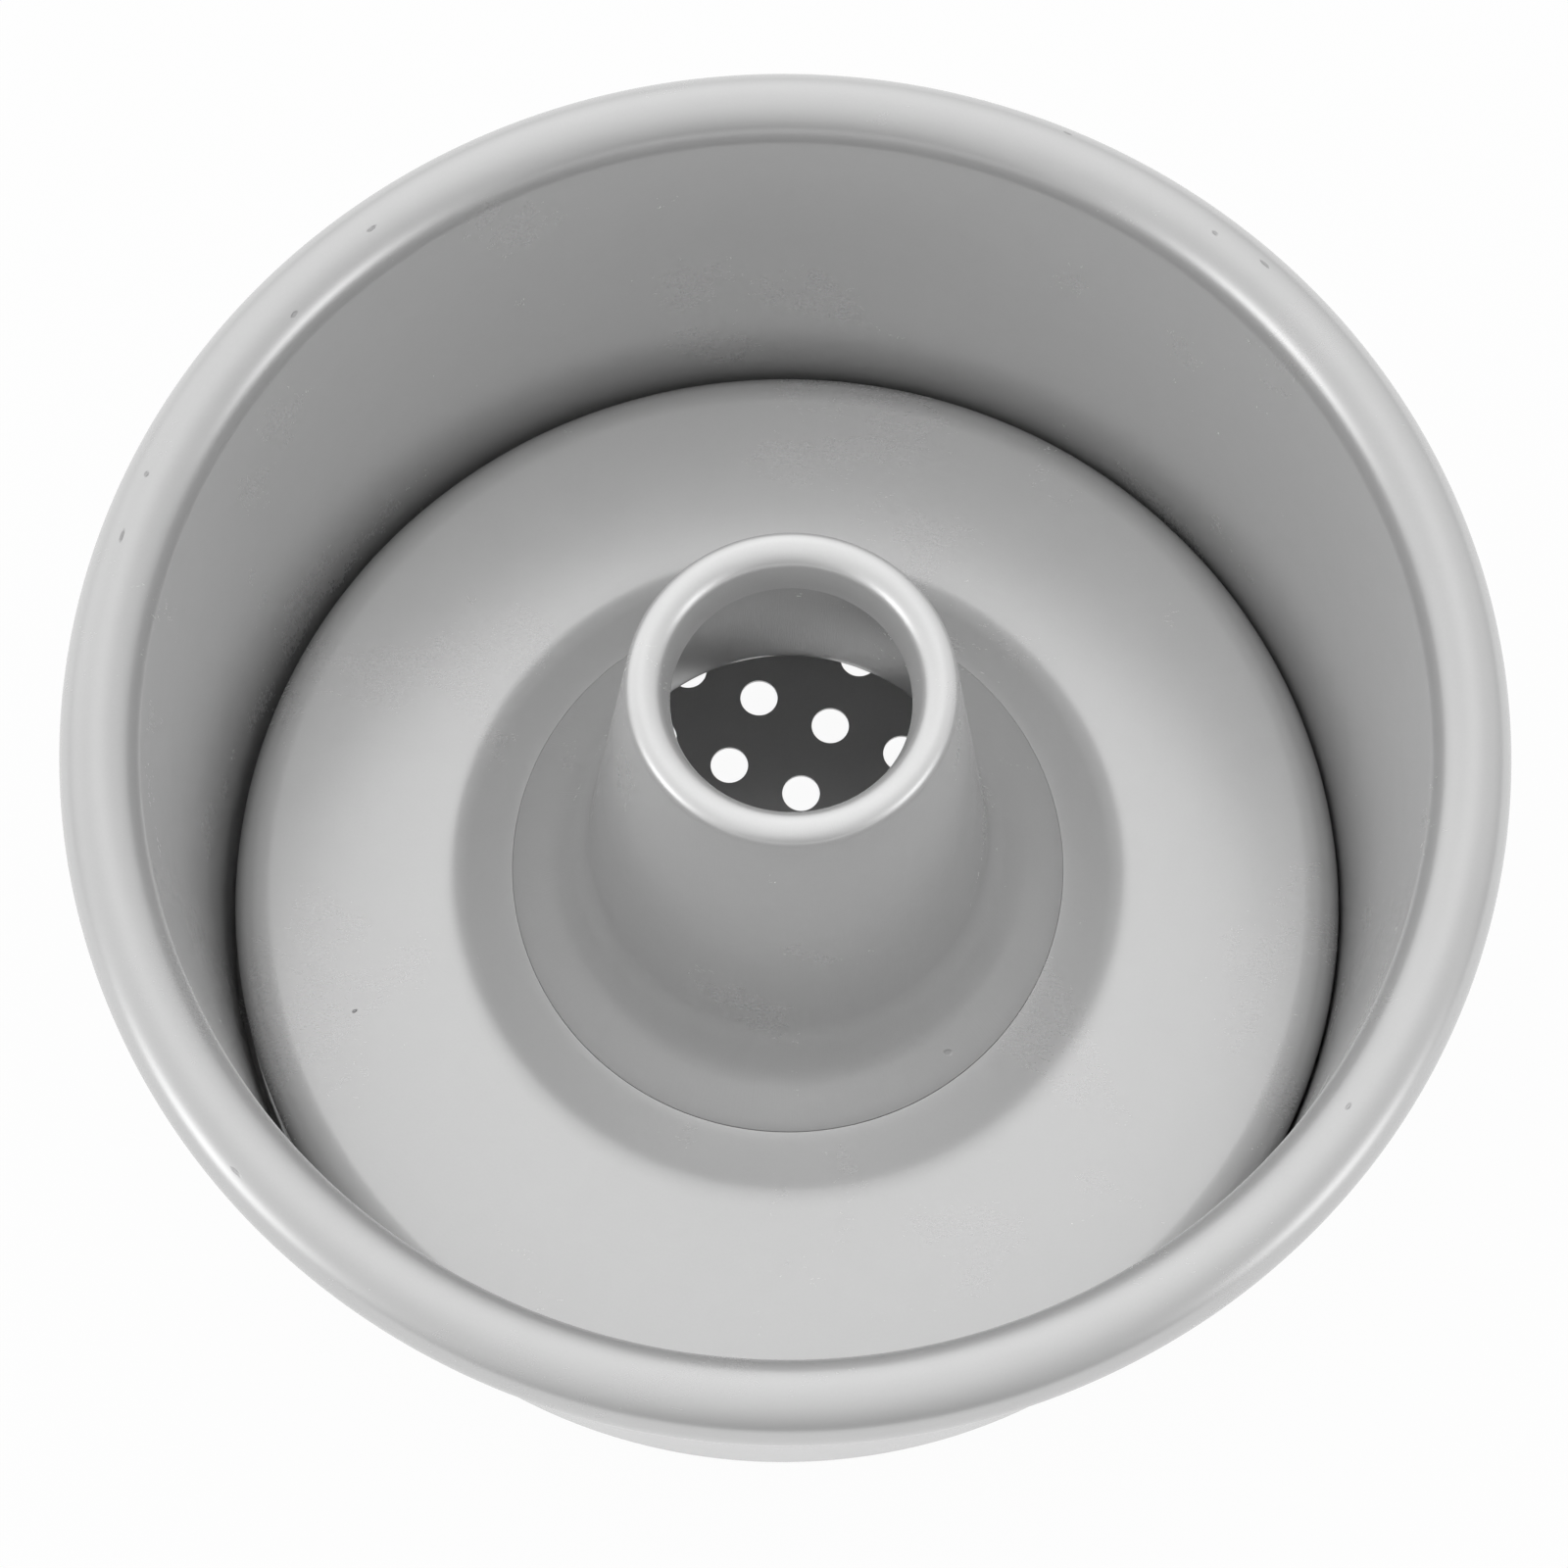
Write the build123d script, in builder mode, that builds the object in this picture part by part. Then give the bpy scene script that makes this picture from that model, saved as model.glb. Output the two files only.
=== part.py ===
# Angel food cake pan in spun and drawn sheet aluminium, as an assembly that lifts apart:
# a straight-walled ring with a hollow rolled rim and a turned-in ledge at its foot, a thin
# perforated floor plate that lies on the ledge, and an insert that stands on the plate. The
# insert is a base disc with a turned-down skirt, drawn up in the middle, and a tapered centre
# tube whose lip rolls inward and runs down into the mouth as a short collar.
# Millimetres. The origin is the centre of the resting face on the pan's axis, and +Z is up.
import math
import os

from build123d import *

# Pan wall: straight wall, hollow rim rolled outward, rounded foot and ledge
wall_sheet = 1.0
wall_inner_radius = 89.0
pan_height = 97.0
rim_bead_radius = 5.5
rim_curl_gap = 0.95
foot_bend_radius = 2.0
ledge_width = 10.0

# Floor plate: thin sheet with a square pattern of round holes, turned about the pan's axis and
# shifted a little from it
plate_thickness = 0.6
plate_clearance = 0.3
hole_diameter = 6.2
hole_pitch = 12.8
hole_row_degrees = -21.4
hole_row_shift = 1.9
hole_column_shift = -0.3
hole_field_margin = 3.0

# Insert: how far its disc is smaller than the wall, and the gap left where it stands closest
insert_clearance = 1.1
insert_near_gap = 0.4

# Base disc: top face, rounded shoulder and a skirt that leans in towards its foot
disc_sheet = 1.0
disc_top_height = 20.0
shoulder_radius = 6.5
skirt_lean_degrees = 7.0

# Centre tube: throat, mouth flared out from it to the rolled lip, collar measured down from the
# top, foot bend and sloping foot. The lip's bead is its outer half, and the wider bend runs down
# into the mouth. Bend radii are those of the faces that show from above, and slopes are measured
# from the level.
tube_sheet = 1.0
tube_height = 104.3
tube_throat_radius = 16.5
mouth_flare = 0.9
mouth_flare_radius = 18.0
mouth_bend_radius = 3.1
lip_bead_radius = 2.25
collar_height = 6.8
tube_foot_bend_radius = 15.9
tube_foot_slope_degrees = 34.0
tube_foot_slope_length = 7.0

# Disc's middle, drawn up towards the tube: where it leaves the flat, its bend and its slope
rise_radius = 54.5
rise_bend_radius = 9.6
rise_slope_degrees = 26.0
rise_slope_length = 8.0

# Seam between the two slopes: the gap that shows, and how far the tube runs on underneath the
# disc
seam_gap = 0.1
seam_lap = 6.0

# Sizes that follow from the ones above
wall_outer_radius = wall_inner_radius + wall_sheet
ledge_inner_radius = wall_outer_radius - ledge_width
foot_inner_bend_radius = foot_bend_radius - wall_sheet
foot_bend_centre_radius = wall_outer_radius - foot_bend_radius
plate_radius = foot_bend_centre_radius - plate_clearance
plate_top_height = wall_sheet + plate_thickness
disc_radius = wall_inner_radius - insert_clearance
insert_shift = insert_clearance - insert_near_gap


def on_circle(centre, radius, degrees):
    """Point of a circle, as distance from the axis and height."""
    angle = math.radians(degrees)
    return (centre[0] + radius * math.cos(angle), centre[1] + radius * math.sin(angle))


# The insert stands a little to the +X side of the pan's axis, against the wall's near gap
insert_plane = Plane(origin=(insert_shift, 0, 0), x_dir=(1, 0, 0), z_dir=(0, -1, 0))
insert_axis = Axis(origin=(insert_shift, 0, 0), direction=(0, 0, 1))

# Pan wall: one sheet from the ledge's edge, round the foot, up the wall and round the rim
rim_centre = (wall_inner_radius + rim_bead_radius, pan_height - rim_bead_radius)
rim_curl_radius = rim_bead_radius - wall_sheet
rim_tail_share = (rim_curl_radius - rim_curl_gap) / rim_bead_radius
rim_sweep = 360 - math.degrees(math.acos(rim_tail_share))
rim_tail_degrees = 180 - rim_sweep
foot_bend_centre = (foot_bend_centre_radius, foot_bend_radius)
with BuildPart() as pan_wall:
    with BuildSketch(Plane.XZ):
        with BuildLine():
            Line((ledge_inner_radius, wall_sheet), (foot_bend_centre_radius, wall_sheet))
            CenterArc(foot_bend_centre, foot_inner_bend_radius, -90, 90)
            Line((wall_inner_radius, foot_bend_radius), (wall_inner_radius, rim_centre[1]))
            CenterArc(rim_centre, rim_bead_radius, 180, -rim_sweep)
            Line(
                on_circle(rim_centre, rim_bead_radius, rim_tail_degrees),
                on_circle(rim_centre, rim_curl_radius, rim_tail_degrees),
            )
            CenterArc(rim_centre, rim_curl_radius, rim_tail_degrees, rim_sweep)
            Line((wall_outer_radius, rim_centre[1]), (wall_outer_radius, foot_bend_radius))
            CenterArc(foot_bend_centre, foot_bend_radius, 0, -90)
            Line((foot_bend_centre_radius, 0), (ledge_inner_radius, 0))
            Line((ledge_inner_radius, 0), (ledge_inner_radius, wall_sheet))
        make_face()
    revolve(axis=Axis.Z)
pan_wall.part.label = "pan_wall"

# Floor plate: the holes keep inside the ledge, so that its rim lies on solid metal
hole_field_radius = ledge_inner_radius - hole_field_margin - hole_diameter / 2
holes_across = 2 * math.ceil(hole_field_radius / hole_pitch) + 2
hole_grid = GridLocations(hole_pitch, hole_pitch, holes_across, holes_across)
grid_shift = Vector(hole_row_shift, hole_column_shift, 0)
grid_centres = [spot.position + grid_shift for spot in hole_grid.local_locations]
hole_centres = [centre for centre in grid_centres if centre.length <= hole_field_radius]
with BuildPart() as floor_plate:
    with BuildSketch(Plane.XY.offset(wall_sheet)):
        Circle(plate_radius)
        with Locations(Location((0, 0, 0), (0, 0, hole_row_degrees))):
            with Locations(*hole_centres):
                Circle(hole_diameter / 2, mode=Mode.SUBTRACT)
    extrude(amount=plate_thickness)
floor_plate.part.label = "floor_plate"

# Seam: the disc's slope ends a gap short of it, and the tube steps under the disc there
rise_centre = (rise_radius, disc_top_height + rise_bend_radius)
rise_under_bend_radius = rise_bend_radius + disc_sheet
rise_under_degrees = 270 - rise_slope_degrees
rise_up_degrees = 180 - rise_slope_degrees
rise_down_degrees = -rise_slope_degrees
rise_start = on_circle(rise_centre, rise_bend_radius, rise_under_degrees)
seam_point = on_circle(rise_start, rise_slope_length, rise_up_degrees)
disc_edge_top = on_circle(seam_point, seam_gap, rise_down_degrees)
disc_edge_bottom = on_circle(disc_edge_top, disc_sheet, rise_under_degrees)

# Base disc: drawn-up middle, flat ring, rounded shoulder and the skirt down to the floor plate
shoulder_centre = (disc_radius - shoulder_radius, disc_top_height - shoulder_radius)
skirt_outer_top = on_circle(shoulder_centre, shoulder_radius, -skirt_lean_degrees)
shoulder_inner_radius = shoulder_radius - disc_sheet
skirt_inner_top = on_circle(shoulder_centre, shoulder_inner_radius, -skirt_lean_degrees)


def skirt_foot(skirt_top):
    """Where a skirt face that starts at skirt_top meets the floor plate."""
    drop = skirt_top[1] - plate_top_height
    return (skirt_top[0] - drop * math.tan(math.radians(skirt_lean_degrees)), plate_top_height)


shoulder_sweep = 90 + skirt_lean_degrees
disc_underside_height = disc_top_height - disc_sheet
with BuildPart() as base_disc:
    with BuildSketch(insert_plane):
        with BuildLine():
            Line(disc_edge_top, rise_start)
            CenterArc(rise_centre, rise_bend_radius, rise_under_degrees, rise_slope_degrees)
            Line((rise_radius, disc_top_height), (shoulder_centre[0], disc_top_height))
            CenterArc(shoulder_centre, shoulder_radius, 90, -shoulder_sweep)
            Line(skirt_outer_top, skirt_foot(skirt_outer_top))
            Line(skirt_foot(skirt_outer_top), skirt_foot(skirt_inner_top))
            Line(skirt_foot(skirt_inner_top), skirt_inner_top)
            CenterArc(shoulder_centre, shoulder_inner_radius, -skirt_lean_degrees, shoulder_sweep)
            Line(
                (shoulder_centre[0], disc_underside_height),
                (rise_radius, disc_underside_height),
            )
            CenterArc(rise_centre, rise_under_bend_radius, 270, -rise_slope_degrees)
            Line(
                on_circle(rise_centre, rise_under_bend_radius, rise_under_degrees),
                disc_edge_bottom,
            )
            Line(disc_edge_bottom, disc_edge_top)
        make_face()
    revolve(axis=insert_axis)
base_disc.part.label = "base_disc"

# Centre tube, mouth: the lip rolls inward over the top and bends down into the flare, whose arc
# is centred outside the wall
lip_top_radius = tube_throat_radius + mouth_flare + mouth_bend_radius
lip_centre = (lip_top_radius, tube_height - lip_bead_radius)
mouth_centre = (lip_top_radius, tube_height - mouth_bend_radius)
lip_hidden_radius = lip_bead_radius - tube_sheet
mouth_hidden_radius = mouth_bend_radius - tube_sheet
flare_to_mouth = mouth_flare_radius - mouth_bend_radius
flare_degrees = 180 - math.degrees(math.acos(1 - mouth_flare / flare_to_mouth))
flare_centre = on_circle(mouth_centre, flare_to_mouth, flare_degrees + 180)
flare_hidden_radius = mouth_flare_radius - tube_sheet
collar_edge_height = tube_height - collar_height
collar_share = (collar_edge_height - flare_centre[1]) / mouth_flare_radius
collar_end_degrees = 180 - math.degrees(math.asin(collar_share))
collar_sweep = collar_end_degrees - flare_degrees

# Centre tube, foot: the slope rises from the seam and bends up into the taper
foot_under_degrees = 270 - tube_foot_slope_degrees
foot_up_degrees = 180 - tube_foot_slope_degrees
slope_top = on_circle(seam_point, tube_foot_slope_length, foot_up_degrees)
foot_centre = on_circle(slope_top, tube_foot_bend_radius, foot_under_degrees - 180)
foot_bore_bend_radius = tube_foot_bend_radius + tube_sheet

# Centre tube, taper: the straight run touches the lip on one side and the foot bend on the other
lip_to_foot = (foot_centre[0] - lip_centre[0], foot_centre[1] - lip_centre[1])
bend_sum_share = (lip_bead_radius + tube_foot_bend_radius) / math.hypot(*lip_to_foot)
taper_degrees = math.degrees(
    math.acos(bend_sum_share) + math.atan2(lip_to_foot[1], lip_to_foot[0])
)
lip_sweep = 90 - taper_degrees
mouth_sweep = flare_degrees - 90
foot_top_degrees = 180 + taper_degrees
foot_sweep = foot_under_degrees - foot_top_degrees

# Centre tube, lap: the bore's side steps down a sheet before the seam, and the lap then follows
# the underside of the disc's slope
step_top = on_circle(
    on_circle(seam_point, tube_sheet, foot_up_degrees), tube_sheet, foot_under_degrees
)
lap_thickness = disc_sheet + tube_sheet
step_bottom = on_circle(
    on_circle(seam_point, tube_sheet, rise_up_degrees), lap_thickness, rise_under_degrees
)
lap_face_start = on_circle(seam_point, disc_sheet, rise_under_degrees)
lap_face_end = on_circle(lap_face_start, seam_lap, rise_down_degrees)
lap_under_end = on_circle(lap_face_end, tube_sheet, rise_under_degrees)
with BuildPart() as centre_tube:
    with BuildSketch(insert_plane):
        with BuildLine():
            Line(seam_point, slope_top)
            CenterArc(foot_centre, tube_foot_bend_radius, foot_under_degrees, -foot_sweep)
            Line(
                on_circle(foot_centre, tube_foot_bend_radius, foot_top_degrees),
                on_circle(lip_centre, lip_bead_radius, taper_degrees),
            )
            CenterArc(lip_centre, lip_bead_radius, taper_degrees, lip_sweep)
            CenterArc(mouth_centre, mouth_bend_radius, 90, mouth_sweep)
            CenterArc(flare_centre, mouth_flare_radius, flare_degrees, collar_sweep)
            Line(
                on_circle(flare_centre, mouth_flare_radius, collar_end_degrees),
                on_circle(flare_centre, flare_hidden_radius, collar_end_degrees),
            )
            CenterArc(flare_centre, flare_hidden_radius, collar_end_degrees, -collar_sweep)
            CenterArc(mouth_centre, mouth_hidden_radius, flare_degrees, -mouth_sweep)
            CenterArc(lip_centre, lip_hidden_radius, 90, -lip_sweep)
            Line(
                on_circle(lip_centre, lip_hidden_radius, taper_degrees),
                on_circle(foot_centre, foot_bore_bend_radius, foot_top_degrees),
            )
            CenterArc(foot_centre, foot_bore_bend_radius, foot_top_degrees, foot_sweep)
            Line(on_circle(foot_centre, foot_bore_bend_radius, foot_under_degrees), step_top)
            Line(step_top, step_bottom)
            Line(step_bottom, lap_under_end)
            Line(lap_under_end, lap_face_end)
            Line(lap_face_end, lap_face_start)
            Line(lap_face_start, seam_point)
        make_face()
    revolve(axis=insert_axis)
centre_tube.part.label = "centre_tube"

os.makedirs("parts", exist_ok=True)
export_step(pan_wall.part, "parts/pan_wall.step")
export_step(floor_plate.part, "parts/floor_plate.step")
export_step(base_disc.part, "parts/base_disc.step")
export_step(centre_tube.part, "parts/centre_tube.step")
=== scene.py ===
"""Looks of the angel food cake pan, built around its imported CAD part.

The spun and drawn pieces are lathed from the part's own sizes, finely enough for smooth
reflections in satin metal. The floor plate keeps its CAD mesh. Metres, same frame as the part.
"""
import math

import bpy
from mathutils import Matrix, Vector, noise


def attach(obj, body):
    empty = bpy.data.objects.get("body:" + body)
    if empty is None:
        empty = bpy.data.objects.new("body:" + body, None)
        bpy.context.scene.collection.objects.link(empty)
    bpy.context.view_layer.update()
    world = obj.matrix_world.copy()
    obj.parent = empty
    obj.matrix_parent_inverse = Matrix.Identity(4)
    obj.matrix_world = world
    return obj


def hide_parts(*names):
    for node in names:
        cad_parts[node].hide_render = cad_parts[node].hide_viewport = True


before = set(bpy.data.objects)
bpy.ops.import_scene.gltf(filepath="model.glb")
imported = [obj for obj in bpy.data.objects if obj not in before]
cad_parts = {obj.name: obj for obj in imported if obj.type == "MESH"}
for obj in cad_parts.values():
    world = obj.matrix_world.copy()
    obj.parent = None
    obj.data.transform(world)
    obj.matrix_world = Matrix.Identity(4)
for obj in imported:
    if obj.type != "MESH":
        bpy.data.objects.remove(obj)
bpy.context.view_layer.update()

MM = 0.001

# Pan wall
WALL_SHEET = 1.0 * MM
WALL_INNER_RADIUS = 89.0 * MM
PAN_HEIGHT = 97.0 * MM
RIM_BEAD_RADIUS = 5.5 * MM
RIM_CURL_GAP = 0.95 * MM
FOOT_BEND_RADIUS = 2.0 * MM
LEDGE_WIDTH = 10.0 * MM

# Floor plate
PLATE_THICKNESS = 0.6 * MM

# Insert
INSERT_CLEARANCE = 1.1 * MM
INSERT_NEAR_GAP = 0.4 * MM

# Base disc
DISC_SHEET = 1.0 * MM
DISC_TOP_HEIGHT = 20.0 * MM
SHOULDER_RADIUS = 6.5 * MM
SKIRT_LEAN_DEGREES = 7.0

# Centre tube
TUBE_SHEET = 1.0 * MM
TUBE_HEIGHT = 104.3 * MM
TUBE_THROAT_RADIUS = 16.5 * MM
MOUTH_FLARE = 0.9 * MM
MOUTH_FLARE_RADIUS = 18.0 * MM
MOUTH_BEND_RADIUS = 3.1 * MM
LIP_BEAD_RADIUS = 2.25 * MM
COLLAR_HEIGHT = 6.8 * MM
TUBE_FOOT_BEND_RADIUS = 15.9 * MM
TUBE_FOOT_SLOPE_DEGREES = 34.0
TUBE_FOOT_SLOPE_LENGTH = 7.0 * MM

# Disc's middle, drawn up towards the tube, and the seam between the two slopes
RISE_RADIUS = 54.5 * MM
RISE_BEND_RADIUS = 9.6 * MM
RISE_SLOPE_DEGREES = 26.0
RISE_SLOPE_LENGTH = 8.0 * MM
SEAM_GAP = 0.1 * MM
SEAM_LAP = 6.0 * MM

# The insert stands off the wall's axis by this much, towards +X
INSERT_SHIFT = INSERT_CLEARANCE - INSERT_NEAR_GAP

# How finely the lathe works, and how close two points are one
LATHE_STEPS = 720
ARC_STEP_DEGREES = 4.0
RUN_STEP = 2.0 * MM
SAME_PLACE = 1e-7

# Broken edges: how far they reach, in length and as a share of the side next to them, and from
# which angle on a corner is so blunt that it stays as it is
EDGE_BREAK = 0.14 * MM
SEAM_EDGE_BREAK = 0.04 * MM
EDGE_BREAK_SHARE = 0.45
EDGE_BREAK_STEPS = 4
BLUNT_DEGREES = 140

# Slight waves in the sheet: their depth, and their number to the radius round the axis and to the
# metre of height
SHEET_WAVE = 0.05 * MM
SEAM_WAVE = 0.02 * MM
WAVES_ROUND = 2.1
WAVES_UP = 18.0

# Seeds keep two pieces from showing the same pattern, which moves by SEED_STEP for each whole
# seed. The disc and the tube share one wave, so that they still meet in the seam.
WALL_SEED = 3.0
INSERT_SEED = 7.0
TUBE_SEED = 11.0
PLATE_SEED = 17.0
SEED_STEP = (0.37, 0.11)

# Finish: the oxide layer scatters part of the light, so the sheet is not all mirror
METAL_SHARE = 0.5
WALL_TONE = 0.63
INSERT_TONE = 0.77
PLATE_TONE = 0.66
SATIN_ROUGHNESS = 0.25
PLATE_ROUGHNESS = 0.42
SATIN_GRAIN = 0.35
PLATE_GRAIN = 0.6
TUBE_STREAKS = 1.0

# Patterns of the finish, in cells to the metre. Round the axis they are in cells to the radius.
TURNING_ACROSS = 1400.0
TURNING_ROUND = 1.6
STREAKS_DOWN = 260.0
STREAKS_ROUND = 170.0
ETCHED_CELLS = (2600.0, 2600.0, 2600.0)
FIBRE_CELLS = (520.0, 1500.0, 520.0)
CLOUD_CELLS = (34.0, 34.0, 34.0)
PATCH_CELLS = (150.0, 150.0, 150.0)
SCRATCH_CELLS = (160.0, 48.0, 110.0)
SPARSE_CELLS = (62.0, 62.0, 62.0)

# Which values of a pattern count, from nothing to all of it
CLOUD_RANGE = (0.25, 0.75)
PATCH_RANGE = (0.3, 0.7)
ETCHED_RANGE = (0.3, 0.7)
SCRATCH_RANGE = (0.0, 0.0022)
SPARSE_RANGE = (0.66, 0.78)

# What the patterns do at their strongest to the tone, the roughness and the relief
CLOUD_TONE = 0.972
PATCH_TONE = 0.985
GRAIN_DARKENING = 0.07
SCRATCH_STRENGTH = 0.2
SCRATCH_DARKENING = 0.12
CLOUD_ROUGHNESS = (-0.02, 0.035)
FIBRE_ROUGHNESS = 0.12
SCRATCH_ROUGHNESS = 0.08
ETCHED_RELIEF = 0.6
FIBRE_RELIEF = 0.8
TURNING_RELIEF = 0.25
RELIEF_STRENGTH = 0.25
RELIEF_DEPTH = 0.07 * MM

# Worn spots of the photograph: place in mm, direction in degrees, length and width in mm, depth
# as a share of the deepest
RIM_MARKS = [
    (-60.6, 71.2, 40, 2.2, 0.7, 0.8),
    (-71.0, 57.7, 52, 1.6, 0.6, 0.6),
    (-89.9, 32.3, 70, 1.2, 0.8, 0.7),
    (-92.6, 22.9, 76, 2.6, 0.6, 0.8),
    (-70.8, -66.4, -45, 2.4, 0.5, 0.5),
    (39.5, 89.1, -24, 2.0, 0.6, 0.7),
    (60.4, 72.8, -40, 1.4, 0.7, 0.6),
    (67.3, 68.2, -45, 2.0, 0.5, 0.7),
    (74.8, -55.2, 53, 1.5, 0.6, 0.5),
]
DISC_MARKS = [
    (-66.3, -24.1, 30, 0.9, 0.5, 0.9),
    (36.5, -2.0, 80, 2.0, 0.4, 0.7),
]
TUBE_MARKS = [(25.7, -30.8, 10, 1.6, 1.0, 0.35)]
MARK_RAGGEDNESS = 1.4
MARK_FADE = (0.45, 1.05)
MARK_DARKENING = 0.4
MARK_STRENGTH = 0.7
MARK_DEPTH = 0.3 * MM

# Floor
FLOOR_HALF_WIDTH = 3.0
FLOOR_DROP = 0.05 * MM
FLOOR_COLOUR = (0.86, 0.86, 0.86, 1.0)
FLOOR_GLOW = 0.95
WHITE = (1.0, 1.0, 1.0, 1.0)

# Studio light: degrees from overhead, degrees round from the right, strength and focus. The wide
# lights run into each other, and the last two are lamps that put the highlights on the lip.
WIDE = 7.0
NARROW = 40.0
SKY_LIGHTS = [
    (0, 0, 0.45, WIDE),
    (30, -90, 0.38, WIDE),
    (30, 0, 0.20, WIDE),
    (30, 90, 0.50, WIDE),
    (30, 180, 0.18, WIDE),
    (58, -90, 0.09, WIDE),
    (58, -45, 0.23, WIDE),
    (58, 0, 0.36, WIDE),
    (58, 45, 0.33, WIDE),
    (58, 90, 0.54, WIDE),
    (58, 135, 0.45, WIDE),
    (58, 180, 0.42, WIDE),
    (58, -135, 0.38, WIDE),
    (84, -90, 0.09, WIDE),
    (84, -30, 0.38, WIDE),
    (84, 30, 0.36, WIDE),
    (84, 90, 0.56, WIDE),
    (84, 150, 0.59, WIDE),
    (84, -150, 0.54, WIDE),
    (77, -156, 2.20, NARROW),
    (77, -26, 1.90, NARROW),
]

# Camera, from the photograph's perspective
CAMERA_PLACE = (0.0, -162.17 * MM, 536.82 * MM)
CAMERA_RIGHT = (0.999845, 0.016717, 0.005475)
CAMERA_UP = (-0.017589, 0.946107, 0.323376)
CAMERA_BACK = (0.000226, -0.323422, 0.946255)
CAMERA_LENS = 78.75
CAMERA_SENSOR = 36.0


def make_camera():
    """The camera that sees the pan as the photograph does."""
    data = bpy.data.cameras.new("camera")
    data.lens = CAMERA_LENS
    data.sensor_width = CAMERA_SENSOR
    camera = bpy.data.objects.new("camera", data)
    turn = Matrix((CAMERA_RIGHT, CAMERA_UP, CAMERA_BACK)).transposed()
    camera.matrix_world = Matrix.Translation(CAMERA_PLACE) @ turn.to_4x4()
    bpy.context.scene.collection.objects.link(camera)
    bpy.context.scene.camera = camera


def on_circle(centre, radius, degrees):
    """Point of a circle, as distance from the axis and height."""
    angle = math.radians(degrees)
    return (centre[0] + radius * math.cos(angle), centre[1] + radius * math.sin(angle))


def arc(centre, radius, start, end):
    """Points along a circle from one angle to another, ends included."""
    count = max(2, math.ceil(abs(end - start) / ARC_STEP_DEGREES))
    return [
        on_circle(centre, radius, start + (end - start) * k / count) for k in range(count + 1)
    ]


def run(start, end):
    """Points along a straight run, ends left out."""
    count = max(1, math.ceil(math.dist(start, end) / RUN_STEP))
    return [
        (start[0] + (end[0] - start[0]) * k / count, start[1] + (end[1] - start[1]) * k / count)
        for k in range(1, count)
    ]


def without_repeats(points):
    """The closed outline with no point written twice in a row."""
    kept = []
    for point in points:
        if not kept or math.dist(point, kept[-1]) > SAME_PLACE:
            kept.append(point)
    if math.dist(kept[0], kept[-1]) <= SAME_PLACE:
        kept.pop()
    return kept


def break_edges(points, size):
    """Rounds the sharp corners of a closed outline, as worn sheet edges are."""
    rounded = []
    count = len(points)
    for k, corner in enumerate(points):
        before = Vector(points[k - 1]) - Vector(corner)
        after = Vector(points[(k + 1) % count]) - Vector(corner)
        if math.degrees(before.angle(after)) > BLUNT_DEGREES:
            rounded.append(corner)
            continue
        reach = min(size, before.length * EDGE_BREAK_SHARE, after.length * EDGE_BREAK_SHARE)
        start = Vector(corner) + before.normalized() * reach
        end = Vector(corner) + after.normalized() * reach
        for step in range(EDGE_BREAK_STEPS + 1):
            share = step / EDGE_BREAK_STEPS
            first = start.lerp(Vector(corner), share)
            second = Vector(corner).lerp(end, share)
            rounded.append(tuple(first.lerp(second, share)))
    return rounded


def lathe(name, outline, shift, seed, edge=EDGE_BREAK, wave=SHEET_WAVE):
    """A body of revolution about a vertical axis at x = shift, with a slight wave in its sheet.

    The wave only goes inward, from nothing to its full depth.
    """
    outline = break_edges(without_repeats(outline), edge)
    points = []
    for step in range(LATHE_STEPS):
        angle = 2 * math.pi * step / LATHE_STEPS
        cosine, sine = math.cos(angle), math.sin(angle)
        for radius, height in outline:
            place = Vector((cosine * WAVES_ROUND, sine * WAVES_ROUND, height * WAVES_UP))
            inward = wave * (0.5 + 0.5 * noise.noise(place + Vector((seed, 0, 0))))
            reach = radius - inward
            points.append((shift + reach * cosine, reach * sine, height))
    rows = len(outline)
    faces = []
    for step in range(LATHE_STEPS):
        here, there = step * rows, ((step + 1) % LATHE_STEPS) * rows
        for row in range(rows):
            above = (row + 1) % rows
            faces.append((here + row, there + row, there + above, here + above))
    mesh = bpy.data.meshes.new(name)
    mesh.from_pydata(points, [], faces)
    mesh.validate()
    mesh.shade_smooth()
    if signed_volume(mesh) < 0:
        mesh.flip_normals()
    made = bpy.data.objects.new(name, mesh)
    bpy.context.scene.collection.objects.link(made)
    return made


def signed_volume(mesh):
    """Volume that the faces enclose, negative if they face inwards."""
    total = 0.0
    for face in mesh.polygons:
        corners = [mesh.vertices[k].co for k in face.vertices]
        for k in range(1, len(corners) - 1):
            total += corners[0].dot(corners[k].cross(corners[k + 1]))
    return total / 6


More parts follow.
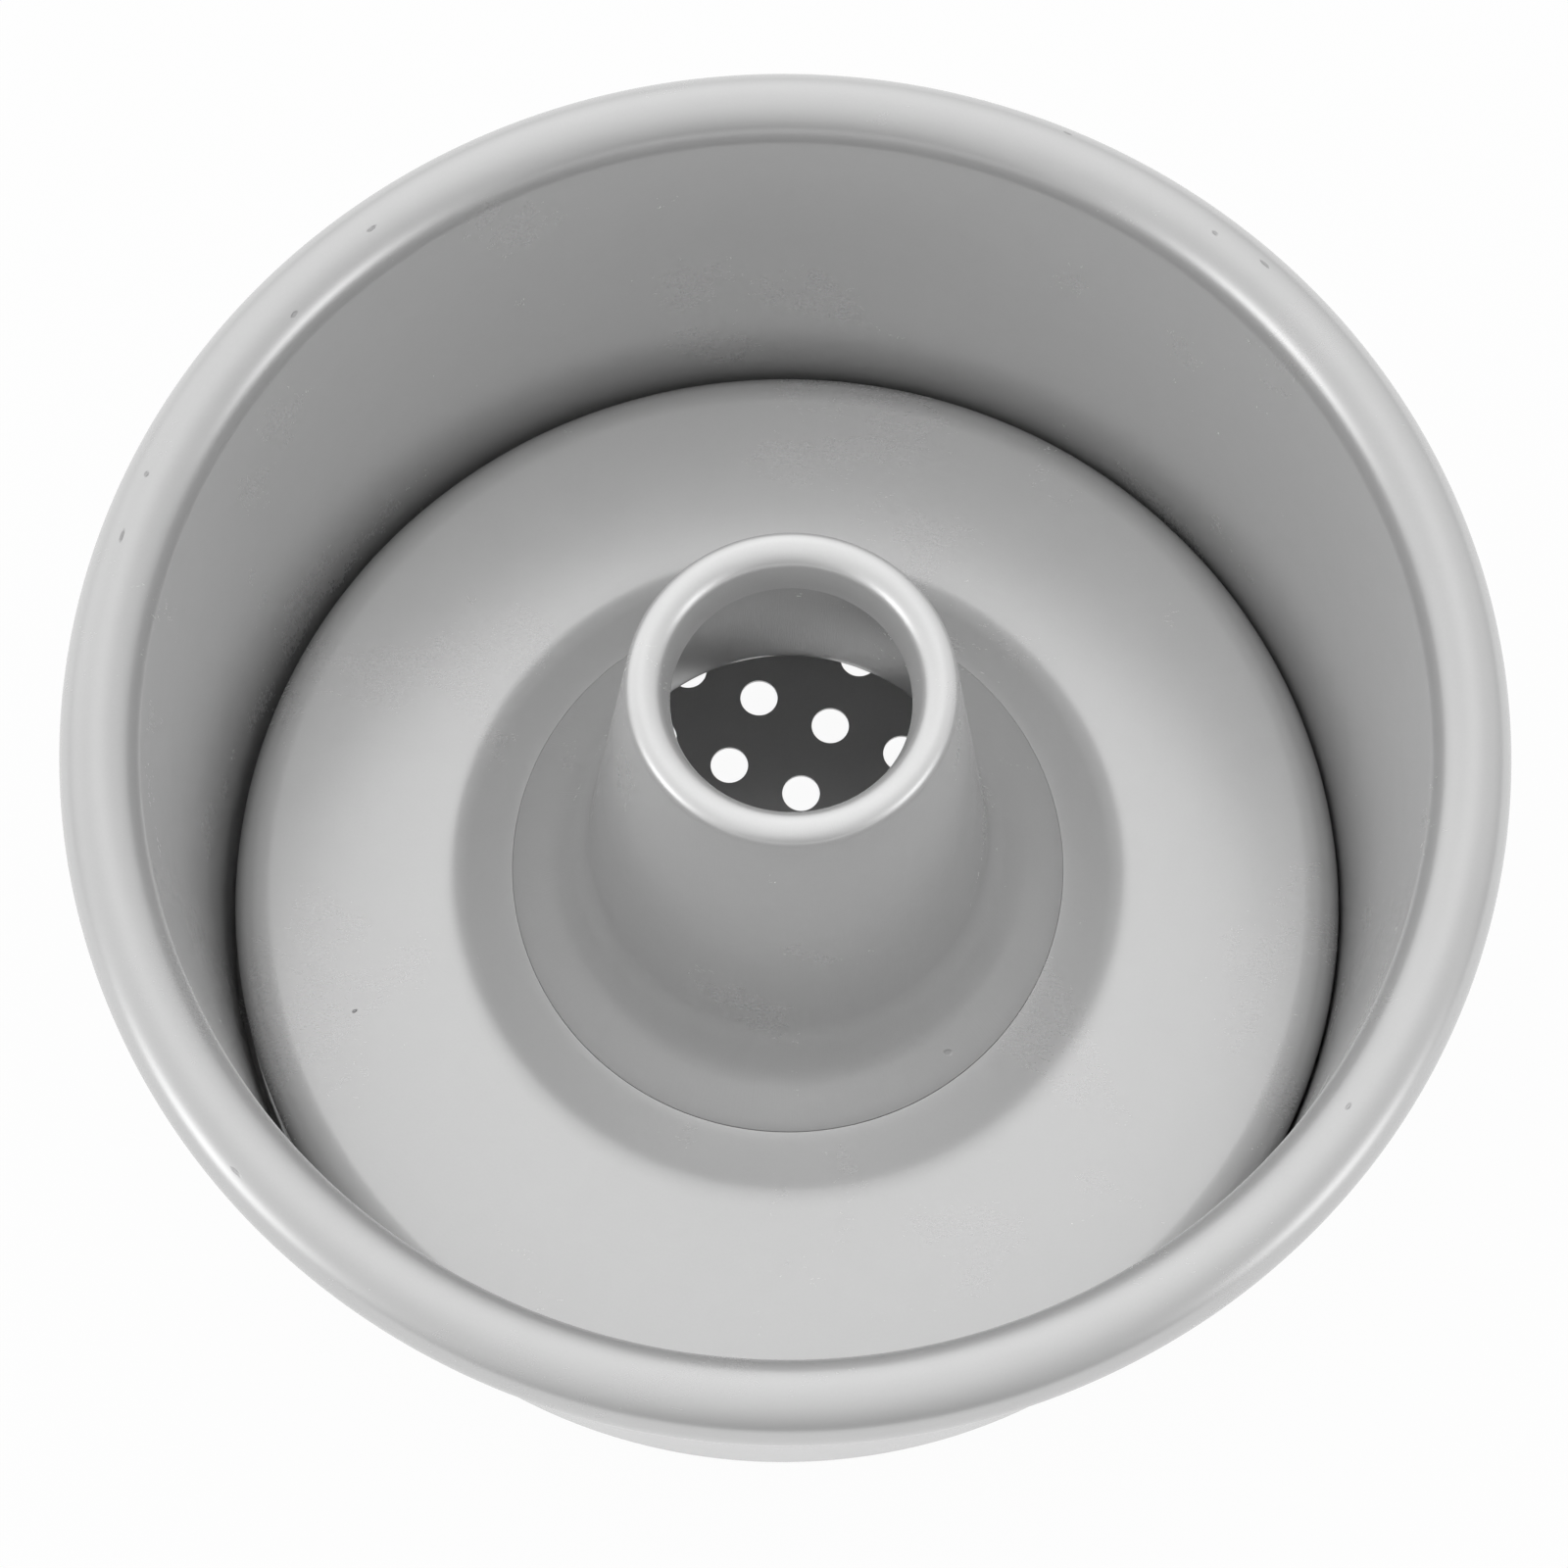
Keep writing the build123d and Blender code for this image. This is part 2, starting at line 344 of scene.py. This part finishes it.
def pan_wall_outline():
    """One sheet from the ledge's edge, round the foot, up the wall and round the rim."""
    outer_radius = WALL_INNER_RADIUS + WALL_SHEET
    ledge_radius = outer_radius - LEDGE_WIDTH
    foot_inner = FOOT_BEND_RADIUS - WALL_SHEET
    foot_centre = (outer_radius - FOOT_BEND_RADIUS, FOOT_BEND_RADIUS)
    rim_centre = (WALL_INNER_RADIUS + RIM_BEAD_RADIUS, PAN_HEIGHT - RIM_BEAD_RADIUS)
    curl_radius = RIM_BEAD_RADIUS - WALL_SHEET
    tail_share = (curl_radius - RIM_CURL_GAP) / RIM_BEAD_RADIUS
    sweep = 360 - math.degrees(math.acos(tail_share))
    tail = 180 - sweep
    inner_foot = arc(foot_centre, foot_inner, -90, 0)
    outer_foot = arc(foot_centre, FOOT_BEND_RADIUS, 0, -90)
    bead = arc(rim_centre, RIM_BEAD_RADIUS, 180, tail)
    curl = arc(rim_centre, curl_radius, tail, 180)
    ledge_top = (ledge_radius, WALL_SHEET)
    ledge_bottom = (ledge_radius, 0.0)
    return (
        [ledge_top]
        + run(ledge_top, inner_foot[0])
        + inner_foot
        + run(inner_foot[-1], bead[0])
        + bead
        + curl
        + run(curl[-1], outer_foot[0])
        + outer_foot
        + run(outer_foot[-1], ledge_bottom)
        + [ledge_bottom]
    )


# The rise of the disc's middle up to the seam, which the disc and the tube share
RISE_CENTRE = (RISE_RADIUS, DISC_TOP_HEIGHT + RISE_BEND_RADIUS)
RISE_UNDER_DEGREES = 270 - RISE_SLOPE_DEGREES
RISE_UP_DEGREES = 180 - RISE_SLOPE_DEGREES
RISE_START = on_circle(RISE_CENTRE, RISE_BEND_RADIUS, RISE_UNDER_DEGREES)
SEAM_POINT = on_circle(RISE_START, RISE_SLOPE_LENGTH, RISE_UP_DEGREES)


def base_disc_outline():
    """Drawn-up middle, flat ring, rounded shoulder and the skirt down to the floor plate."""
    disc_radius = WALL_INNER_RADIUS - INSERT_CLEARANCE
    plate_top = WALL_SHEET + PLATE_THICKNESS
    shoulder_centre = (disc_radius - SHOULDER_RADIUS, DISC_TOP_HEIGHT - SHOULDER_RADIUS)
    shoulder_inner = SHOULDER_RADIUS - DISC_SHEET
    edge_top = on_circle(SEAM_POINT, SEAM_GAP, -RISE_SLOPE_DEGREES)
    edge_bottom = on_circle(edge_top, DISC_SHEET, RISE_UNDER_DEGREES)
    rise = arc(RISE_CENTRE, RISE_BEND_RADIUS, RISE_UNDER_DEGREES, 270)
    under_rise = arc(RISE_CENTRE, RISE_BEND_RADIUS + DISC_SHEET, 270, RISE_UNDER_DEGREES)
    shoulder = arc(shoulder_centre, SHOULDER_RADIUS, 90, -SKIRT_LEAN_DEGREES)
    under_shoulder = arc(shoulder_centre, shoulder_inner, -SKIRT_LEAN_DEGREES, 90)
    lean = math.tan(math.radians(SKIRT_LEAN_DEGREES))

    def skirt_foot(top):
        return (top[0] - (top[1] - plate_top) * lean, plate_top)

    outer_foot = skirt_foot(shoulder[-1])
    inner_foot = skirt_foot(under_shoulder[0])
    return (
        [edge_top]
        + run(edge_top, rise[0])
        + rise
        + run(rise[-1], shoulder[0])
        + shoulder
        + run(shoulder[-1], outer_foot)
        + [outer_foot, inner_foot]
        + run(inner_foot, under_shoulder[0])
        + under_shoulder
        + run(under_shoulder[-1], under_rise[0])
        + under_rise
        + run(under_rise[-1], edge_bottom)
        + [edge_bottom]
    )


def centre_tube_outline():
    """Collar, lip rolled inward, tapered wall, wide foot bend and the lap under the disc."""
    lip_top_radius = TUBE_THROAT_RADIUS + MOUTH_FLARE + MOUTH_BEND_RADIUS
    lip_centre = (lip_top_radius, TUBE_HEIGHT - LIP_BEAD_RADIUS)
    mouth_centre = (lip_top_radius, TUBE_HEIGHT - MOUTH_BEND_RADIUS)
    flare_to_mouth = MOUTH_FLARE_RADIUS - MOUTH_BEND_RADIUS
    flare_degrees = 180 - math.degrees(math.acos(1 - MOUTH_FLARE / flare_to_mouth))
    flare_centre = on_circle(mouth_centre, flare_to_mouth, flare_degrees + 180)
    collar_share = (TUBE_HEIGHT - COLLAR_HEIGHT - flare_centre[1]) / MOUTH_FLARE_RADIUS
    collar_end = 180 - math.degrees(math.asin(collar_share))
    foot_up = 180 - TUBE_FOOT_SLOPE_DEGREES
    foot_under = 270 - TUBE_FOOT_SLOPE_DEGREES
    slope_top = on_circle(SEAM_POINT, TUBE_FOOT_SLOPE_LENGTH, foot_up)
    foot_centre = on_circle(slope_top, TUBE_FOOT_BEND_RADIUS, foot_under - 180)
    across = (foot_centre[0] - lip_centre[0], foot_centre[1] - lip_centre[1])
    bend_share = (LIP_BEAD_RADIUS + TUBE_FOOT_BEND_RADIUS) / math.hypot(*across)
    taper = math.degrees(math.acos(bend_share) + math.atan2(across[1], across[0]))
    foot_top = 180 + taper
    bore_bend = TUBE_FOOT_BEND_RADIUS + TUBE_SHEET
    foot = arc(foot_centre, TUBE_FOOT_BEND_RADIUS, foot_under, foot_top)
    lip = arc(lip_centre, LIP_BEAD_RADIUS, taper, 90)
    mouth = arc(mouth_centre, MOUTH_BEND_RADIUS, 90, flare_degrees)
    collar = arc(flare_centre, MOUTH_FLARE_RADIUS, flare_degrees, collar_end)
    under_collar = arc(flare_centre, MOUTH_FLARE_RADIUS - TUBE_SHEET, collar_end, flare_degrees)
    under_mouth = arc(mouth_centre, MOUTH_BEND_RADIUS - TUBE_SHEET, flare_degrees, 90)
    under_lip = arc(lip_centre, LIP_BEAD_RADIUS - TUBE_SHEET, 90, taper)
    bore = arc(foot_centre, bore_bend, foot_top, foot_under)
    step_top = on_circle(on_circle(SEAM_POINT, TUBE_SHEET, foot_up), TUBE_SHEET, foot_under)
    step_bottom = on_circle(
        on_circle(SEAM_POINT, TUBE_SHEET, RISE_UP_DEGREES),
        DISC_SHEET + TUBE_SHEET,
        RISE_UNDER_DEGREES,
    )
    lap_start = on_circle(SEAM_POINT, DISC_SHEET, RISE_UNDER_DEGREES)
    lap_end = on_circle(lap_start, SEAM_LAP, -RISE_SLOPE_DEGREES)
    under_lap_end = on_circle(lap_end, TUBE_SHEET, RISE_UNDER_DEGREES)
    return (
        [SEAM_POINT]
        + run(SEAM_POINT, foot[0])
        + foot
        + run(foot[-1], lip[0])
        + lip
        + mouth
        + collar
        + under_collar
        + under_mouth
        + under_lip
        + run(under_lip[-1], bore[0])
        + bore
        + run(bore[-1], step_top)
        + [step_top, step_bottom]
        + run(step_bottom, under_lap_end)
        + [under_lap_end, lap_end]
        + run(lap_end, lap_start)
        + [lap_start]
    )


class Shader:
    """Node tree of a material or world, with short calls for the nodes that are needed here."""

    def __init__(self, owner):
        owner.use_nodes = True
        self.tree = owner.node_tree
        self.tree.nodes.clear()

    def add(self, kind, **settings):
        """A new node of this kind, with these settings."""
        node = self.tree.nodes.new(kind)
        for key, value in settings.items():
            setattr(node, key, value)
        return node

    def join(self, source, target):
        """A link from an output to an input."""
        self.tree.links.new(source, target)

    def set(self, socket, value):
        """Gives an input a value, which is another node's output or a constant."""
        if isinstance(value, bpy.types.NodeSocket):
            self.join(value, socket)
        else:
            socket.default_value = value

    def math(self, operation, first, second=0.0):
        """The result of an operation on one or two numbers."""
        node = self.add("ShaderNodeMath", operation=operation)
        self.set(node.inputs[0], first)
        self.set(node.inputs[1], second)
        return node.outputs[0]

    def vector(self, operation, first, second=(0.0, 0.0, 0.0)):
        """The result of an operation on vectors, a number for LENGTH and DOT_PRODUCT."""
        node = self.add("ShaderNodeVectorMath", operation=operation)
        self.set(node.inputs[0], first)
        self.set(node.inputs[1], second)
        return node.outputs["Value" if operation in ("LENGTH", "DOT_PRODUCT") else "Vector"]

    def noise(self, place, detail, rough, distortion=0.0):
        """Soft noise, with one cell to each unit of place."""
        node = self.add("ShaderNodeTexNoise")
        self.join(place, node.inputs["Vector"])
        node.inputs["Scale"].default_value = 1.0
        node.inputs["Detail"].default_value = detail
        node.inputs["Roughness"].default_value = rough
        node.inputs["Distortion"].default_value = distortion
        return node.outputs["Fac"]

    def between(self, value, given, wanted, kind="SMOOTHSTEP"):
        """The value moved from the given range to the wanted one, and held at its ends."""
        node = self.add("ShaderNodeMapRange", interpolation_type=kind)
        self.set(node.inputs["Value"], value)
        for socket, number in zip(node.inputs[1:5], (*given, *wanted)):
            self.set(socket, number)
        return node.outputs["Result"]

    def combine(self, x, y, z):
        """A vector of three numbers."""
        node = self.add("ShaderNodeCombineXYZ")
        for socket, value in zip(node.inputs, (x, y, z)):
            self.set(socket, value)
        return node.outputs[0]

    def bump(self, height, strength, distance, normal=None):
        """Normals that follow a relief, on top of other normals where they are given."""
        node = self.add("ShaderNodeBump")
        node.inputs["Strength"].default_value = strength
        node.inputs["Distance"].default_value = distance
        self.join(height, node.inputs["Height"])
        if normal is not None:
            self.join(normal, node.inputs["Normal"])
        return node.outputs["Normal"]


def worn_spots(s, place, marks, ragged):
    """Depth of the small dents and rubs that the photograph shows, each a ragged oval."""
    deepest = None
    for x, y, degrees, length, width, depth in marks:
        away = s.vector("SUBTRACT", place, (x * MM, y * MM, 0.0))
        turn = math.radians(degrees)
        down_line = s.vector("DOT_PRODUCT", away, (math.cos(turn), math.sin(turn), 0.0))
        off_line = s.vector("DOT_PRODUCT", away, (-math.sin(turn), math.cos(turn), 0.0))
        far = s.math("MULTIPLY", down_line, 2.0 / (length * MM))
        wide = s.math("MULTIPLY", off_line, 2.0 / (width * MM))
        span = s.vector("LENGTH", s.combine(far, wide, 0.0))
        spot = s.between(s.math("ADD", span, ragged), MARK_FADE, (depth, 0.0))
        deepest = spot if deepest is None else s.math("MAXIMUM", deepest, spot)
    return deepest


def satin_aluminium(name, tone, roughness, shift, seed, marks, grain=SATIN_GRAIN, streaks=0.0):
    """Anodised satin sheet: etched grain, faint turning lines, cloudy tone, scratches and marks.

    streaks is how strongly the polish shows as short lines across the turning direction.
    """
    material = bpy.data.materials.new(name)
    s = Shader(material)
    place = s.add("ShaderNodeTexCoord").outputs["Object"]
    moved = s.vector("ADD", place, (seed * SEED_STEP[0], seed * SEED_STEP[1], 0.0))

    def pattern(cells, detail, rough, distortion=0.0):
        return s.noise(s.vector("MULTIPLY", moved, cells), detail, rough, distortion)

    # Places round the piece's own axis: distance from it, direction away from it, and height
    centred = s.vector("SUBTRACT", place, (shift, 0.0, 0.0))
    from_axis = s.vector("MULTIPLY", centred, (1.0, 1.0, 0.0))
    radius = s.vector("LENGTH", from_axis)
    outward = s.add("ShaderNodeSeparateXYZ")
    s.join(s.vector("NORMALIZE", from_axis), outward.inputs[0])
    height = s.vector("DOT_PRODUCT", place, (0.0, 0.0, 1.0))

    # Turning lines: fine across the sheet, long round the axis
    along_sheet = s.math("ADD", radius, height)
    turned = s.combine(
        s.math("MULTIPLY", along_sheet, TURNING_ACROSS),
        s.math("MULTIPLY", outward.outputs["X"], TURNING_ROUND),
        s.math("MULTIPLY", outward.outputs["Y"], TURNING_ROUND),
    )
    turning = s.noise(turned, detail=2.0, rough=0.6)

    # Polish streaks: short lines down the sheet, fine round the axis
    polished = s.combine(
        s.math("MULTIPLY", outward.outputs["X"], STREAKS_ROUND),
        s.math("MULTIPLY", outward.outputs["Y"], STREAKS_ROUND),
        s.math("MULTIPLY", along_sheet, STREAKS_DOWN),
    )
    polish = s.noise(polished, detail=2.0, rough=0.55, distortion=0.6)

    etched = pattern(ETCHED_CELLS, detail=4.0, rough=0.7)
    fibres = pattern(FIBRE_CELLS, detail=4.0, rough=0.75, distortion=1.2)
    clouds = pattern(CLOUD_CELLS, detail=5.0, rough=0.62, distortion=0.4)
    patches = pattern(PATCH_CELLS, detail=4.0, rough=0.65, distortion=0.8)

    # Scratches: thin level lines of a stretched noise, kept only where a second one allows them
    stretched = pattern(SCRATCH_CELLS, detail=1.0, rough=0.4, distortion=0.3)
    sparse = pattern(SPARSE_CELLS, detail=2.0, rough=0.5)
    from_level = s.math("ABSOLUTE", s.math("SUBTRACT", stretched, 0.5))
    line = s.between(from_level, SCRATCH_RANGE, (1.0, 0.0))
    allowed = s.between(sparse, SPARSE_RANGE, (0.0, SCRATCH_STRENGTH))
    scratches = s.math("MULTIPLY", line, allowed)

    # Tone: a little darker in clouds, patches, grain and scratches
    shade = s.between(clouds, CLOUD_RANGE, (CLOUD_TONE, 1.0), "LINEAR")
    for values, given, darkest in (
        (patches, PATCH_RANGE, PATCH_TONE),
        (etched, ETCHED_RANGE, 1.0 - GRAIN_DARKENING * grain),
    ):
        shade = s.math("MULTIPLY", shade, s.between(values, given, (darkest, 1.0), "LINEAR"))
    shade = s.math("SUBTRACT", shade, s.math("MULTIPLY", scratches, SCRATCH_DARKENING))

    # Roughness: a little uneven, and higher in scratches
    wanted = (roughness + CLOUD_ROUGHNESS[0], roughness + CLOUD_ROUGHNESS[1])
    uneven = s.math("MULTIPLY", s.math("SUBTRACT", fibres, 0.5), FIBRE_ROUGHNESS * grain)
    dull = s.math("ADD", s.between(clouds, CLOUD_RANGE, wanted, "LINEAR"), uneven)
    dull = s.math("ADD", dull, s.math("MULTIPLY", scratches, SCRATCH_ROUGHNESS))

    relief = s.math("MULTIPLY", etched, ETCHED_RELIEF * grain)
    for values, share in (
        (fibres, FIBRE_RELIEF * grain),
        (turning, TURNING_RELIEF),
        (polish, streaks),
    ):
        relief = s.math("ADD", relief, s.math("MULTIPLY", values, share))
    normal = s.bump(relief, RELIEF_STRENGTH, RELIEF_DEPTH)

    if marks:
        ragged = s.math("MULTIPLY", s.math("SUBTRACT", patches, 0.5), MARK_RAGGEDNESS)
        spots = worn_spots(s, place, marks, ragged)
        shade = s.math("SUBTRACT", shade, s.math("MULTIPLY", spots, MARK_DARKENING))
        normal = s.bump(s.math("SUBTRACT", 0.0, spots), MARK_STRENGTH, MARK_DEPTH, normal)

    colour = s.vector("MULTIPLY", s.combine(shade, shade, shade), (tone, tone, tone))
    metal = s.add("ShaderNodeBsdfPrincipled")
    metal.inputs["Metallic"].default_value = METAL_SHARE
    s.join(colour, metal.inputs["Base Color"])
    s.join(dull, metal.inputs["Roughness"])
    s.join(normal, metal.inputs["Normal"])
    s.join(metal.outputs["BSDF"], s.add("ShaderNodeOutputMaterial").inputs["Surface"])
    return material


def make_floor():
    """Plain pale floor. The camera and the metal see it near white, with the pan's soft shadow."""
    half = FLOOR_HALF_WIDTH
    mesh = bpy.data.meshes.new("floor")
    corners = [(-half, -half, 0.0), (half, -half, 0.0), (half, half, 0.0), (-half, half, 0.0)]
    mesh.from_pydata(corners, [], [(0, 1, 2, 3)])
    floor = bpy.data.objects.new("floor", mesh)
    floor.location.z = -FLOOR_DROP
    bpy.context.scene.collection.objects.link(floor)
    material = bpy.data.materials.new("pale_floor")
    s = Shader(material)
    rays = s.add("ShaderNodeLightPath")
    seen = s.math("MAXIMUM", rays.outputs["Is Camera Ray"], rays.outputs["Is Glossy Ray"])
    seen = s.math("MAXIMUM", seen, rays.outputs["Is Transmission Ray"])
    matt = s.add("ShaderNodeBsdfDiffuse")
    matt.inputs["Color"].default_value = FLOOR_COLOUR
    pale = s.add("ShaderNodeEmission")
    pale.inputs["Color"].default_value = WHITE
    pale.inputs["Strength"].default_value = 1.0
    mix = s.add("ShaderNodeMixShader")
    s.join(s.math("MULTIPLY", seen, FLOOR_GLOW), mix.inputs["Fac"])
    s.join(matt.outputs[0], mix.inputs[1])
    s.join(pale.outputs[0], mix.inputs[2])
    s.join(mix.outputs[0], s.add("ShaderNodeOutputMaterial").inputs["Surface"])
    mesh.materials.append(material)


def make_world():
    """Soft studio light from wide soft lights that run into each other, white to the camera."""
    world = bpy.data.worlds.new("studio")
    bpy.context.scene.world = world
    s = Shader(world)
    place = s.add("ShaderNodeTexCoord").outputs["Generated"]
    total = None
    for from_overhead, round_degrees, strength, focus in SKY_LIGHTS:
        tilt = math.radians(from_overhead)
        turn = math.radians(round_degrees)
        level = math.sin(tilt)
        towards = (level * math.cos(turn), level * math.sin(turn), math.cos(tilt))
        off = s.math("SUBTRACT", s.vector("DOT_PRODUCT", place, towards), 1.0)
        glow = s.math("EXPONENT", s.math("MULTIPLY", off, focus))
        glow = s.math("MULTIPLY", glow, strength)
        total = glow if total is None else s.math("ADD", total, glow)
    studio = s.add("ShaderNodeBackground")
    studio.inputs["Color"].default_value = WHITE
    s.join(total, studio.inputs["Strength"])
    white = s.add("ShaderNodeBackground")
    white.inputs["Color"].default_value = WHITE
    white.inputs["Strength"].default_value = 1.0
    mix = s.add("ShaderNodeMixShader")
    s.join(s.add("ShaderNodeLightPath").outputs["Is Camera Ray"], mix.inputs["Fac"])
    s.join(studio.outputs[0], mix.inputs[1])
    s.join(white.outputs[0], mix.inputs[2])
    s.join(mix.outputs[0], s.add("ShaderNodeOutputWorld").inputs["Surface"])


make_camera()

wall = lathe("wall_looks", pan_wall_outline(), 0.0, WALL_SEED)
disc = lathe(
    "disc_looks", base_disc_outline(), INSERT_SHIFT, INSERT_SEED, SEAM_EDGE_BREAK, SEAM_WAVE
)
tube = lathe(
    "tube_looks", centre_tube_outline(), INSERT_SHIFT, INSERT_SEED, SEAM_EDGE_BREAK, SEAM_WAVE
)
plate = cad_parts["floor_plate"]
plate.data.materials.clear()

wall.data.materials.append(
    satin_aluminium("wall_satin", WALL_TONE, SATIN_ROUGHNESS, 0.0, WALL_SEED, RIM_MARKS)
)
disc.data.materials.append(
    satin_aluminium(
        "disc_satin", INSERT_TONE, SATIN_ROUGHNESS, INSERT_SHIFT, INSERT_SEED, DISC_MARKS
    )
)
tube.data.materials.append(
    satin_aluminium(
        "tube_satin",
        INSERT_TONE,
        SATIN_ROUGHNESS,
        INSERT_SHIFT,
        TUBE_SEED,
        TUBE_MARKS,
        streaks=TUBE_STREAKS,
    )
)
plate.data.materials.append(
    satin_aluminium(
        "plate_dull", PLATE_TONE, PLATE_ROUGHNESS, 0.0, PLATE_SEED, (), grain=PLATE_GRAIN
    )
)

for piece, body, node, slot_name in (
    (wall, "pan", "pan_wall", "wall_aluminium"),
    (disc, "insert", "base_disc", "disc_aluminium"),
    (tube, "insert", "centre_tube", "tube_aluminium"),
):
    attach(piece, body)
    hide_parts(node)

make_floor()
make_world()
bpy.context.scene.view_settings.view_transform = "Standard"
